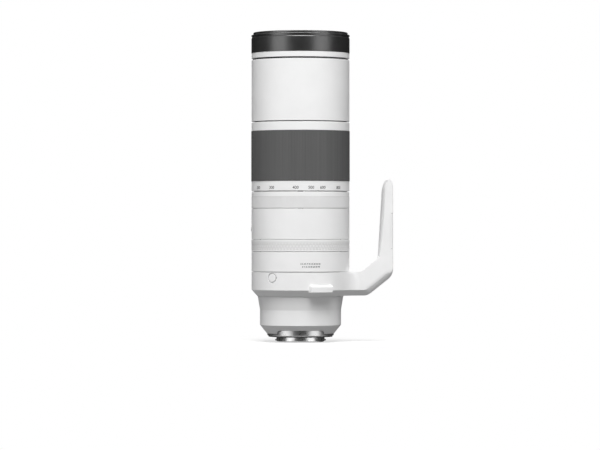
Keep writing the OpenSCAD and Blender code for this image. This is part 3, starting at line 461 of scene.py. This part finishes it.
def collar_band():
    """Collar's closed outline turned round the axis, with a round recess for the plug.

    The outer wall is drawn in by the recess's depth within the plug's radius of its centre,
    measured along the wall, and by the same in a small pry notch beside it. Rows and columns
    crowd round it.
    """
    patch, beside, below = 7, 7.4, 5.6
    notch_along, notch_up, soft = 1.2, 0.8, 0.15
    spread = np.linspace(-patch, patch, 96) / BODY_R
    rest = np.linspace(beside / BODY_R, TURN - beside / BODY_R, 300)
    angle = PLUG_ANGLE + np.concatenate([spread, rest])
    z0, z1, z2 = COLLAR_Z
    wall = np.concatenate([np.linspace(z1, PLUG_Z - below, 5)[:-1],
                           np.linspace(PLUG_Z - below, z2 - COLLAR_EDGE, 80)])
    height = np.concatenate([[COLLAR_STEP_Z, z0, z0], wall, [z2, z2, COLLAR_STEP_Z]])
    radius = np.concatenate([[COLLAR_BORE[0], COLLAR_BORE[0], COLLAR_LOW_R],
                             np.full(len(wall), BODY_R),
                             [BODY_R - COLLAR_EDGE, COLLAR_BORE[1], COLLAR_BORE[1]]])
    along = (angle[:, None] - PLUG_ANGLE) * BODY_R
    up = height[None, :] - PLUG_Z
    hole = step_down(np.hypot(along, up), PLUG_R + PLUG_SLACK, soft)
    notch = (step_down(np.abs(along - PLUG_R), notch_along, soft)
             * step_down(np.abs(up), notch_up, soft))
    outside = (radius > BODY_R - 0.01)[None, :]
    r = radius[None, :] - PLUG_RECESS * np.maximum(hole, notch) * outside
    z = np.broadcast_to(height, r.shape)
    return np.stack([r * np.cos(angle)[:, None], r * np.sin(angle)[:, None], z], -1)


def plug_cap():
    """Disc laid on the barrel: rho cos a along the wall, rho sin a up it, its depth by rho.

    The top is flush with the wall and rolls down over the last 0.3 mm to a straight side.
    """
    roll, flush, base = 0.3, 0.05, PLUG_RECESS - 0.05
    t = np.linspace(0, np.pi / 2, 5)
    edge = PLUG_R - PLUG_SLACK
    rho = np.concatenate([[0, 2, 3.4], edge - roll + roll * np.sin(t), [edge, 0]])
    drop = np.concatenate([[flush] * 3, flush + roll * (1 - np.cos(t)), [base, base]])
    a = np.arange(64)[:, None] * TURN / 64
    angle = PLUG_ANGLE + rho * np.cos(a) / BODY_R
    r = BODY_R - drop
    return np.stack([r * np.cos(angle), r * np.sin(angle),
                     PLUG_Z + rho * np.sin(a) + 0 * angle], -1)


def knob_boss():
    """Short round boss on the radial line of the lock knob, flaring into the collar's wall.

    Its radius grows by the flare towards the collar along a quarter circle.
    """
    flare, neck, screw = 1.6, 7, 2.6
    foot, rim = 48.9, 54.2
    t = np.linspace(0, np.pi / 2, 8)
    out = np.concatenate([[foot], 51.9 - flare * np.sin(t), [rim - 0.3, rim, rim, foot]])[::-1]
    rad = np.concatenate([[neck + flare], neck + flare * (1 - np.cos(t)),
                          [neck, neck - 0.3, screw, screw]])[::-1]
    a = np.arange(48)[:, None] * TURN / 48
    side, up = rad * np.cos(a), rad * np.sin(a)
    c, s = np.cos(KNOB_ANGLE), np.sin(KNOB_ANGLE)
    return np.stack([out * c - side * s, out * s + side * c, KNOB_Z + up + 0 * side], -1)


def arc(a, k, b, r, n):
    """Points of an arc of radius r that rounds the corner k between a and b, evenly turned."""
    a, k, b = map(np.asarray, (a, k, b))
    u, v = (a - k) / np.linalg.norm(a - k), (b - k) / np.linalg.norm(b - k)
    half = np.arccos(np.clip(u @ v, -1, 1)) / 2
    c = k + (u + v) / np.linalg.norm(u + v) * r / np.sin(half)
    p, q = k + u * r / np.tan(half) - c, k + v * r / np.tan(half) - c
    turn = np.pi - 2 * half
    t = np.linspace(0, 1, n + 1)[:, None]
    return c + (np.sin((1 - t) * turn) * p + np.sin(t * turn) * q) / np.sin(turn)


# Tripod foot: outer face, half depth, top, base plate's ends and bed, arm's sides, root's reach
FOOT_X = 95.8
FOOT_HALF = 13.5
FOOT_TOP = 162.3
PLATE_Z = (90.3, 126.8)
PLATE_GAP = 0.25
PLATE_BED = 2.3
ARM_Z = (41.7, 66.38)
ROOT_X = (40.0, 62.3)
# Its stations: along the root, lower bend, upper bend, base plate and top
ROOT_N, LOW_N, HIGH_N, PLATE_N, TOP_N = 13, 15, 21, 4, 12
STRETCHES = (ROOT_N, LOW_N, HIGH_N, PLATE_N, TOP_N)
# Cut of an edge that stays sharp, and stations over which the upright's inner cut grows and fades
SHARP_CUT = 0.06
GROW_N = 6


def blend(a, b, n):
    """n values that go from a to b along a smooth step."""
    t = np.linspace(0, 1, n)
    return a + (b - a) * t * t * (3 - 2 * t)


def section_loops(outer, inner, half, cut_out, cut_in):
    """Closed section at each station, from its outer to its inner point and half to both sides.

    A corner's curve is a parabola between the ends of its cuts; cut holds the cut along the
    section, the cut across it and rho, which moves the control point from their middle (flat
    bevel) to the corner (full round).
    """
    way = inner - outer
    span = np.linalg.norm(way, axis=1)
    way = way / span[:, None]
    (bo, wo, ro), (bi, wi, ri) = cut_out, cut_in
    zero = np.zeros_like(half)
    start = np.stack([np.stack([zero, half - wo], -1), np.stack([span - bi, half], -1),
                      np.stack([span, wi - half], -1), np.stack([bo, -half], -1)], 1)
    end = np.stack([np.stack([bo, half], -1), np.stack([span, half - wi], -1),
                    np.stack([span - bi, -half], -1), np.stack([zero, wo - half], -1)], 1)
    corner = np.stack([np.stack([zero, half], -1), np.stack([span, half], -1),
                       np.stack([span, -half], -1), np.stack([zero, -half], -1)], 1)
    middle = (start + end) / 2
    control = middle + np.stack([ro, ri, ri, ro], 1)[..., None] * (corner - middle)
    t = np.linspace(0, 1, 9)[:, None]
    curve = ((1 - t) ** 2 * start[:, :, None] + 2 * t * (1 - t) * control[:, :, None]
             + t * t * end[:, :, None])
    s = np.linspace(0, 1, 8)[1:-1, None]
    run = end[:, :, None] + s * (np.roll(start, -1, 1) - end)[:, :, None]
    loop = np.concatenate([curve, run], 2).reshape(len(half), -1, 2)
    along, across = loop[..., 0], loop[..., 1]
    return np.stack([outer[:, :1] + way[:, :1] * along, across,
                     outer[:, 1:] + way[:, 1:] * along], -1)


def stations(*values):
    """One value for each station of the foot, from a number or a row for each stretch."""
    return np.concatenate([np.broadcast_to(v, n) for v, n in zip(values, STRETCHES)])


def inner_cut(full, last):
    """Cut of the inner edges: grows out of the upper bend to full, and falls to last at the top."""
    sharp = np.full(HIGH_N - GROW_N, SHARP_CUT)
    grown = full * blend(0.015, 0.5, GROW_N)
    end = np.append(np.full(TOP_N - GROW_N, full), np.linspace(full, last, GROW_N))
    return stations(SHARP_CUT, SHARP_CUT, np.append(sharp, grown),
                    full * np.array([0.65, 0.65, 1, 1]), end)


def foot_lines():
    """Outer and inner line of the foot, an (x, z) for each station, and the root's half width.

    The root's half width is a cubic that leaves the collar's circle along its tangent and ends
    level with the arm; its stations tilt until they meet the inner bend. Both bends are arcs. The
    outer side steps in for the base plate, and the top narrows by powers of the station.
    """
    z0, z1 = ARM_Z
    t = np.linspace(0, 1, ROOT_N - 1)
    x0, run = ROOT_X[0], ROOT_X[1] - ROOT_X[0]
    y0 = np.sqrt(BODY_R ** 2 - x0 ** 2)
    root_x = x0 + run * t
    root_half = (y0 * (1 - 3 * t ** 2 + 2 * t ** 3) - x0 / y0 * run * (t - 2 * t ** 2 + t ** 3)
                 + FOOT_HALF * (3 * t ** 2 - 2 * t ** 3))
    root_x, root_half = np.append(root_x[0] - 2, root_x), np.append(root_half[0], root_half)
    tilt = 3 * np.append(0, t ** 2)
    # Corners of the outer line (k) and of the inner line (j), before the arcs round them
    slope, reach, tip = 0.8, 26.4, 13.6
    k_low, k_out = (FOOT_X - reach, z0), (FOOT_X, z0 + reach * slope)
    j_low, j_out, j_top = (62.8, z1), (80.3, z1 + 17.5 * slope), (84.2, FOOT_TOP - tip)
    outer_bend = [arc((0, z0), k_low, k_out, 12, LOW_N - 1),
                  arc(k_low, k_out, (FOOT_X, 150), 14, HIGH_N - 1)]
    inner_bend = [arc((0, z1), j_low, j_out, 8, LOW_N - 1),
                  arc(j_low, j_out, j_top, 4.2, HIGH_N - 1)]
    side = 0.02
    wide = PLATE_GAP + side
    level = np.array([PLATE_Z[0] - wide, PLATE_Z[0] - PLATE_GAP,
                      PLATE_Z[1] + PLATE_GAP, PLATE_Z[1] + wide])
    inset = np.array([0, PLATE_BED, PLATE_BED, 0])
    rise = (level - j_out[1]) / (j_top[1] - j_out[1])
    s = np.linspace(0, 1, TOP_N)
    top = FOOT_TOP - tip * (1 - s) ** 1.9
    outer = np.concatenate([np.stack([root_x, np.full(ROOT_N, z0)], 1), *outer_bend,
                            np.stack([FOOT_X - inset, level], 1),
                            np.stack([FOOT_X - 2.8 * s ** 2, top], 1)])
    inner = np.concatenate([np.stack([root_x - tilt, np.full(ROOT_N, z1)], 1), *inner_bend,
                            np.stack([j_out[0] + rise * (j_top[0] - j_out[0]), level], 1),
                            np.stack([j_top[0] + 6 * s ** 1.36, top], 1)])
    return outer, inner, root_x, root_half


def foot_arm():
    """Tripod foot: a section carried along the arm, round two bends and up the foot.

    The arm's flat bevel below turns round on the diagonal and thins out on the upright, whose
    inner edges are broad parabolas. The arm's upper side falls by the lean towards the back. The
    root's stations bow to the collar's circle, and the first lies inside the collar's wall.
    """
    outer, inner, root_x, root_half = foot_lines()
    half = stations(root_half, *[FOOT_HALF] * 4)
    plate, tip = np.array([1, 0.1, 0.1, 1]), blend(1, 0.6, TOP_N)
    cut_out = (stations(6.0, 6.0, blend(6, 1, HIGH_N), plate, tip),
               stations(6.0, blend(6, 4, LOW_N), blend(4, 1, HIGH_N), plate, tip),
               stations(0, blend(0, 0.25, LOW_N), blend(0.25, 0.9, HIGH_N), 0.9, 0.9))
    cut_in = (inner_cut(4.0, 1.2), inner_cut(13.2, 6.0),
              stations(0, 0, blend(0, 0.6, HIGH_N), 0.6, 0.6))
    loop = section_loops(outer, inner, half, cut_out, cut_in)
    way = inner - outer
    span = np.linalg.norm(way, axis=1)
    depth = ((loop[..., 0] - outer[:, :1]) * way[:, :1]
             + (loop[..., 2] - outer[:, 1:]) * way[:, 1:])
    back = (loop[..., 1] / half[:, None] + 1) / 2
    lean = stations(0.9, 0.9, blend(0.9, 0, HIGH_N), 0, 0) / span ** 3
    loop[..., ::2] -= (lean[:, None] * depth * back)[..., None] * way[:, None, :]
    root = loop[:ROOT_N]
    share = root[..., 1] / root_half[:, None]
    fade = np.clip((root_x[-1] - root_x) / (root_x[-1] - root_x[1]), 0, 1)[:, None]
    reach = np.minimum(BODY_R, COLLAR_LOW_R + 0.88 * (root[..., 2] - COLLAR_Z[0]))
    root[..., 0] += fade * (np.sqrt(reach ** 2 - (root_half[0] * share) ** 2) - root_x[1])
    wall = reach[0] - 1.1
    root[0, :, 0] = np.sqrt(wall ** 2 - root[0, :, 1] ** 2)
    return loop


def plate_gap_shade(z0, z1):
    """Bar of rectangular section that fills the gap at one end of the base plate, a bit sunk; drawn
    in black, it stands in for the shade in the gap: painted shade.
    """
    side, sunk = FOOT_HALF - 0.3, FOOT_X - 0.4
    y = np.linspace(-side, side, 9)[:, None]
    x = np.array([FOOT_X - PLATE_BED, sunk, sunk, FOOT_X - PLATE_BED])
    return np.stack([x + 0 * y, y + 0 * x, np.array([z0, z0, z1, z1]) + 0 * y], -1)


LUG_ANGLE = np.radians(65.5)
LUG_Z = (45.4, 53.2)
LUG_R = 53


def strap_bridge(middle):
    """Strap lug: a bevelled bar that leaves the collar up a slope, bridges a slot and comes back.

    Its outer and inner radius are smooth steps of the distance from the middle, along the wall.
    """
    run = np.concatenate([np.linspace(-14.4, -8.2, 30), np.linspace(-7.6, 7.6, 9),
                          np.linspace(8.2, 14.4, 30)])
    r_out = 50.0 + 5.1 * step_down(np.abs(run), 12.7, 2.8)
    r_in = 49.4 + 3.5 * step_down(np.abs(run), 9.2, 0.5)
    z0, z1 = LUG_Z
    # Section's points: height, fall below the outer radius, on the inner side or not, bevel there
    rise = np.array([z0 + 0.5, z1 - 1.9, z1 - 1.0, z1 - 0.1, z1, z1, z1 - 0.4, z0 + 0.4, z0, z0])
    drop = np.array([0, 0, 0.7, 1.6, 1.75, 0, 0, 0, 0, 0.5])
    inside = np.array([0, 0, 0, 0, 0, 1, 1, 1, 1, 0])
    bevel = np.array([0, 0, 0, 0, 0, 0.3, 0, 0, 0.3, 0])
    thick = (r_out - r_in)[:, None]
    cut = np.minimum(drop, thick * 0.8)
    r = np.where(inside, r_in[:, None] + bevel * thick / 2, r_out[:, None] - cut)
    a = middle + run[:, None] / LUG_R
    return np.stack([r * np.cos(a), r * np.sin(a), np.broadcast_to(rise, r.shape)], -1)


band = skin("collar_band", collar_band(), "collar", collar_paint, sharp=32.0)
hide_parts("tripod_collar")
skin("tripod_foot", foot_arm(), "collar", collar_paint, wrap=(False, True),
     caps=True, sharp=30.0)
# Black bars in the base plate's end gaps: painted shade.
for name, z0, z1 in (("plate_gap_shade_low", PLATE_Z[0] - PLATE_GAP, PLATE_Z[0]),
                     ("plate_gap_shade_high", PLATE_Z[1], PLATE_Z[1] + PLATE_GAP)):
    skin(name, plate_gap_shade(z0, z1), "collar", matt_black, wrap=(False, True),
         caps=True)
near = skin("strap_lug_near", strap_bridge(-LUG_ANGLE), "collar", collar_paint,
            wrap=(False, True), caps=True, sharp=18.0)
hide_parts("strap_lugs")
skin("strap_lug_far", strap_bridge(LUG_ANGLE), "collar", collar_paint,
     wrap=(False, True), caps=True, sharp=18.0)
skin("knob_boss", knob_boss(), "collar", collar_paint)
cap = skin("plug_cap", plug_cap(), "collar", white_paint)
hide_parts("collar_plug")


INK_PROUD = 0.05
WORD_R = BODY_R + 0.7
WORD_Z = (124.6, 106.8)
WORD_SIZE = 2.2


def printed(name, words, body, material, weight=0.0):
    """Figures laid on a round wall: across becomes angle times radius, up height, out radius.

    words holds (text, angle from the front towards the foot in degrees, height, radius, size);
    weight widens the strokes, as a share of the size.
    """
    co, faces = [], []
    for text, angle, height, radius, size in words:
        curve = bpy.data.curves.new(name, "FONT")
        curve.body = text
        curve.size = size
        curve.align_x = "CENTER"
        curve.align_y = "CENTER"
        curve.extrude = INK_PROUD
        curve.offset = weight * size
        curve.resolution_u = 3
        holder = bpy.data.objects.new(name, curve)
        bpy.context.scene.collection.objects.link(holder)
        flat = holder.to_mesh()
        v = np.zeros(len(flat.vertices) * 3)
        flat.vertices.foreach_get("co", v)
        v = v.reshape(-1, 3)
        a = np.radians(angle - 90) + v[:, 0] / radius
        r = radius + v[:, 2]
        start = sum(map(len, co))
        co.append(np.stack([r * np.cos(a), r * np.sin(a), height + v[:, 1]], 1))
        faces += [[start + i for i in p.vertices] for p in flat.polygons]
        holder.to_mesh_clear()
        bpy.data.objects.remove(holder)
        bpy.data.curves.remove(curve)
    mesh = bpy.data.meshes.new(name)
    mesh.from_pydata((np.concatenate(co) * MM).tolist(), [], faces)
    return dress(name, mesh, body, material)


SCALE_Z = 153.2
printed("zoom_scale_numbers",
        [(text, angle, SCALE_Z, BODY_R, 4.2) for text, angle in (
            ("200", -90), ("250", -58.6), ("300", -35.7), ("400", -5.7), ("500", 12.5),
            ("600", 26.8), ("800", 50.1))],
        "zoom", pale_ink, weight=0.015)
printed("distance_numbers",
        [("2 3 4 5 7 10 15 20 30 50", 11.8, 74.9, BODY_R, 2.1),
         ("6 9 12 15 20 30 50 90", 12.4, 71.9, BODY_R, 2.1)],
        "barrel", ink, weight=0.03)
printed("switch_words",
        [(text, angle, WORD_Z[row], WORD_R, WORD_SIZE) for text, angle, row in (
            ("ON", 193, 0), ("OFF", 193, 1), ("A", 167, 0), ("M", 167, 1))],
        "barrel", ink)


def wall_mark(angle, z0, z1, r0, r1, width):
    """Thin painted bar on a wall whose radius is r0 at z0 and r1 at z1, as proud as the ink."""
    a = np.radians(angle - 90) + np.linspace(-0.5, 0.5, 5) * width / r0
    loop_z = np.array([z0, z1, z1, z0])
    loop_r = np.array([r0 + INK_PROUD, r1 + INK_PROUD, r1 - 0.2, r0 - 0.2])
    return np.stack([loop_r * np.cos(a)[:, None], loop_r * np.sin(a)[:, None],
                     np.broadcast_to(loop_z, (5, 4))], -1)


skin("zoom_index_line", wall_mark(-90, 145.3, 148.5, BODY_R - 0.2, BODY_R - 0.2, 0.7), "barrel",
     ink, wrap=(False, True), caps=True)
skin("mount_index_dot", wall_mark(-90, 5.0, 7.6, 37.02, 39.11, 2.6), "barrel", index_red,
     wrap=(False, True), caps=True)


def thread_rings(radius, z0, z1, pitch, depth):
    """Inside of the filter thread: rings of triangle section, depth deep, one for each pitch."""
    count = int(round((z1 - z0) / pitch))
    zig = np.linspace(z0, z1, 2 * count + 1)
    teeth = radius - depth * (np.arange(2 * count + 1) % 2)
    r = np.concatenate([teeth, [radius + 0.2, radius + 0.2]])
    z = np.concatenate([zig, [z1, z0]])
    return lathe(r, z, 160)


skin("filter_thread_rings", thread_rings(47.45, 309.8, 313.6, 0.75, 0.35), "front",
     matt_black, sharp=20.0)


def emission(tree, strength):
    """Plain white emission of the given strength."""
    node = tree.nodes.new("ShaderNodeEmission")
    node.inputs["Strength"].default_value = strength
    return node.outputs[0]


def seen_rays(tree):
    """1 for rays from the camera and for reflected and refracted views, 0 for diffuse light."""
    path = tree.nodes.new("ShaderNodeLightPath")
    first = tree.nodes.new("ShaderNodeMath")
    first.operation = "MAXIMUM"
    second = tree.nodes.new("ShaderNodeMath")
    second.operation = "MAXIMUM"
    tree.links.new(path.outputs["Is Camera Ray"], first.inputs[0])
    tree.links.new(path.outputs["Is Glossy Ray"], first.inputs[1])
    tree.links.new(first.outputs[0], second.inputs[0])
    tree.links.new(path.outputs["Is Transmission Ray"], second.inputs[1])
    return second.outputs[0]


def mixed(tree, factor, a, b):
    """Shader a where factor is 0 and b where it is 1."""
    node = tree.nodes.new("ShaderNodeMixShader")
    tree.links.new(factor, node.inputs[0])
    tree.links.new(a, node.inputs[1])
    tree.links.new(b, node.inputs[2])
    return node.outputs[0]


AMBIENT = 0.355


def studio_world():
    """Dim even light all round, behind which the eye and reflections see plain white."""
    world = bpy.data.worlds.new("studio")
    bpy.context.scene.world = world
    world.use_nodes = True
    tree = world.node_tree
    tree.nodes.clear()
    dim = tree.nodes.new("ShaderNodeBackground")
    dim.inputs["Strength"].default_value = AMBIENT
    bright = tree.nodes.new("ShaderNodeBackground")
    bright.inputs["Color"].default_value = (1, 1, 1, 1)
    bright.inputs["Strength"].default_value = 1.0
    out = tree.nodes.new("ShaderNodeOutputWorld")
    tree.links.new(mixed(tree, seen_rays(tree), dim.outputs[0], bright.outputs[0]), out.inputs[0])


studio_world()

# Floor: height in mm, white seen by the eye, white for bounced light, fade to plain white in metres
FLOOR_Z = -6.5
FLOOR_SEEN = 0.86
FLOOR_BOUNCE = 0.203
FLOOR_FADE = (0.045, 0.16)


def studio_floor():
    """Pale round floor under the lens: lit near it, so its shadow shows, plain white far off."""
    material = bpy.data.materials.new("floor_white")
    material.use_nodes = True
    tree = material.node_tree
    tree.nodes.clear()
    near = tree.nodes.new("ShaderNodeBsdfDiffuse")
    near.inputs["Color"].default_value = (*grey(FLOOR_SEEN), 1)
    low = tree.nodes.new("ShaderNodeBsdfDiffuse")
    low.inputs["Color"].default_value = (*grey(FLOOR_BOUNCE), 1)
    fade = tree.nodes.new("ShaderNodeMapRange")
    fade.interpolation_type = "SMOOTHSTEP"
    fade.inputs["From Min"].default_value = FLOOR_FADE[0]
    fade.inputs["From Max"].default_value = FLOOR_FADE[1]
    fade.inputs["To Min"].default_value = 0.6
    tree.links.new(radius_of(tree), fade.inputs["Value"])
    seen = mixed(tree, fade.outputs[0], near.outputs[0], emission(tree, 1.0))
    out = tree.nodes.new("ShaderNodeOutputMaterial")
    tree.links.new(mixed(tree, seen_rays(tree), low.outputs[0], seen), out.inputs[0])
    rho = np.concatenate([[0, 0.05, 0.1, 0.2, 0.4], np.linspace(1, 14, 8)]) / MM
    grid = lathe(rho, np.full(len(rho), FLOOR_Z), 96)[::-1]
    mesh = bpy.data.meshes.new("floor")
    mesh.from_pydata((grid.reshape(-1, 3) * MM).tolist(), [],
                     grid_faces(*grid.shape[:2], (True, False))[1])
    mesh.materials.append(material)
    piece = bpy.data.objects.new("floor", mesh)
    bpy.context.scene.collection.objects.link(piece)
    piece.visible_glossy = False


studio_floor()


def bent(start, end, radius, z0, z1):
    """Grid in metres of a wall bent round the lens at a radius, from one azimuth to another."""
    a = np.radians(np.linspace(start, end, 49) - 90)[:, None]
    z = np.array([z0, z1])[None, :]
    return np.stack([radius * np.cos(a) + 0 * z, radius * np.sin(a) + 0 * z, 0 * a + z], -1)


def level(half, front, back, height):
    """Grid in metres of a level card over the lens, half to both sides."""
    x, y = np.meshgrid([-half, half], [front, back], indexing="ij")
    return np.stack([x, y, np.full((2, 2), height)], -1)


def card(name, grid, value):
    """Card of the given brightness over a grid, seen by reflections alone."""
    mesh = bpy.data.meshes.new(name)
    mesh.from_pydata(grid.reshape(-1, 3).tolist(), [], grid_faces(*grid.shape[:2])[1])
    material = bpy.data.materials.new(name)
    material.use_nodes = True
    tree = material.node_tree
    tree.nodes.clear()
    out = tree.nodes.new("ShaderNodeOutputMaterial")
    tree.links.new(emission(tree, value), out.inputs[0])
    mesh.materials.append(material)
    piece = bpy.data.objects.new(name, mesh)
    bpy.context.scene.collection.objects.link(piece)
    piece.visible_camera = False
    piece.visible_diffuse = False
    piece.visible_transmission = False
    piece.visible_shadow = False


card("flag_ring", bent(-180, 180, 2.5, -2.0, 3.0), 0.03)
card("strip_left", bent(-69, -31, 2.4, -1.6, 2.0), 3.1)
card("strip_right", bent(31, 69, 2.4, -1.6, 2.0), 3.1)
card("strip_overhead", level(0.5, -1.3, 0.4, 1.8), 12.5)


def softbox(name, azimuth, elevation, distance, width, height, power, target=(0, 0, 0.14)):
    """Area lamp on a sphere round the target, facing it; azimuth 0 is the camera's side."""
    a, e = np.radians(azimuth - 90), np.radians(elevation)
    way = np.array([np.cos(a) * np.cos(e), np.sin(a) * np.cos(e), np.sin(e)])
    lamp = bpy.data.lights.new(name, "AREA")
    lamp.shape = "RECTANGLE"
    lamp.size, lamp.size_y = width, height
    lamp.energy = power
    holder = bpy.data.objects.new(name, lamp)
    bpy.context.scene.collection.objects.link(holder)
    holder.location = np.array(target) + way * distance
    holder.rotation_euler = (np.pi / 2 - e, 0, np.radians(azimuth))
    holder.visible_camera = False
    holder.visible_glossy = False


softbox("key_light", 0, 58, 3.6, 1.8, 2.2, 188.0)
softbox("fill_left", -85, 15, 3.0, 1.6, 1.6, 7.4)
softbox("fill_right", 85, 60, 3.0, 1.6, 1.6, 11.0)
softbox("back_light", 180, 20, 3.6, 2.6, 2.0, 50.0)

# Camera: level, square to the lens, 1.039 mm in the axis plane for one pixel of 600
DISTANCE = 3.12
PIXEL = 1.039 * MM
WIDTH_PX = 600
MIDDLE_PX = 225
FLANGE_PX = 335.5
AXIS_OFF_PX = 0.5
SENSOR = 36.0
camera = bpy.data.cameras.new("camera")
camera.sensor_width = SENSOR
camera.lens = SENSOR * DISTANCE / (WIDTH_PX * PIXEL)
camera.clip_end = 100.0
eye = bpy.data.objects.new("camera", camera)
bpy.context.scene.collection.objects.link(eye)
eye.location = (-AXIS_OFF_PX * PIXEL, -DISTANCE, (FLANGE_PX - MIDDLE_PX) * PIXEL)
eye.rotation_euler = (np.pi / 2, 0, 0)
bpy.context.scene.camera = eye
bpy.context.scene.view_settings.view_transform = "Standard"
